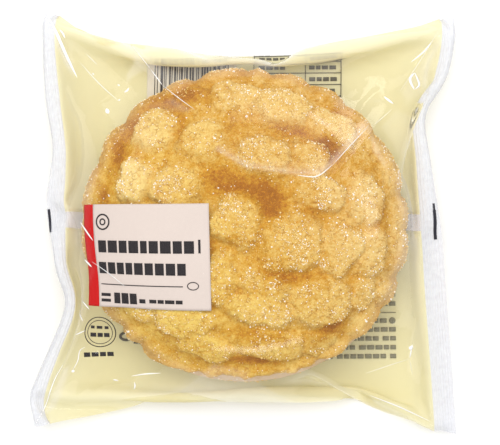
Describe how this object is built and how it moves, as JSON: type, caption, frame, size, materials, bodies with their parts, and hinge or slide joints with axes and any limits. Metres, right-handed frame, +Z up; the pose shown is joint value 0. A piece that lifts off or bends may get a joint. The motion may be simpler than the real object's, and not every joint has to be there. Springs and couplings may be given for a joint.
{
  "type": "bagged melon pan bun",
  "caption": "Round sugar-crusted melon pan bun with raised cookie-crust blocks, sealed in a clear flow-wrapped bag with a pale yellow back and crimped ends.",
  "frame": {"origin": "middle of the bounding box, on the plane that the bag lies on", "axes": "+Z up through the front film, towards the viewer of the front; +X from the left crimped seal to the right one; +Y from the lower fold to the upper one"},
  "size_m": [0.1646, 0.1636, 0.0455],
  "materials": {
    "film": "clear glossy film, pale yellow print on the back",
    "crust": "golden baked cookie crust with sugar",
    "print": "gloss ink on film"
  },
  "bodies": {
    "root": {"bun_bag": "film"}
  },
  "joints": []
}
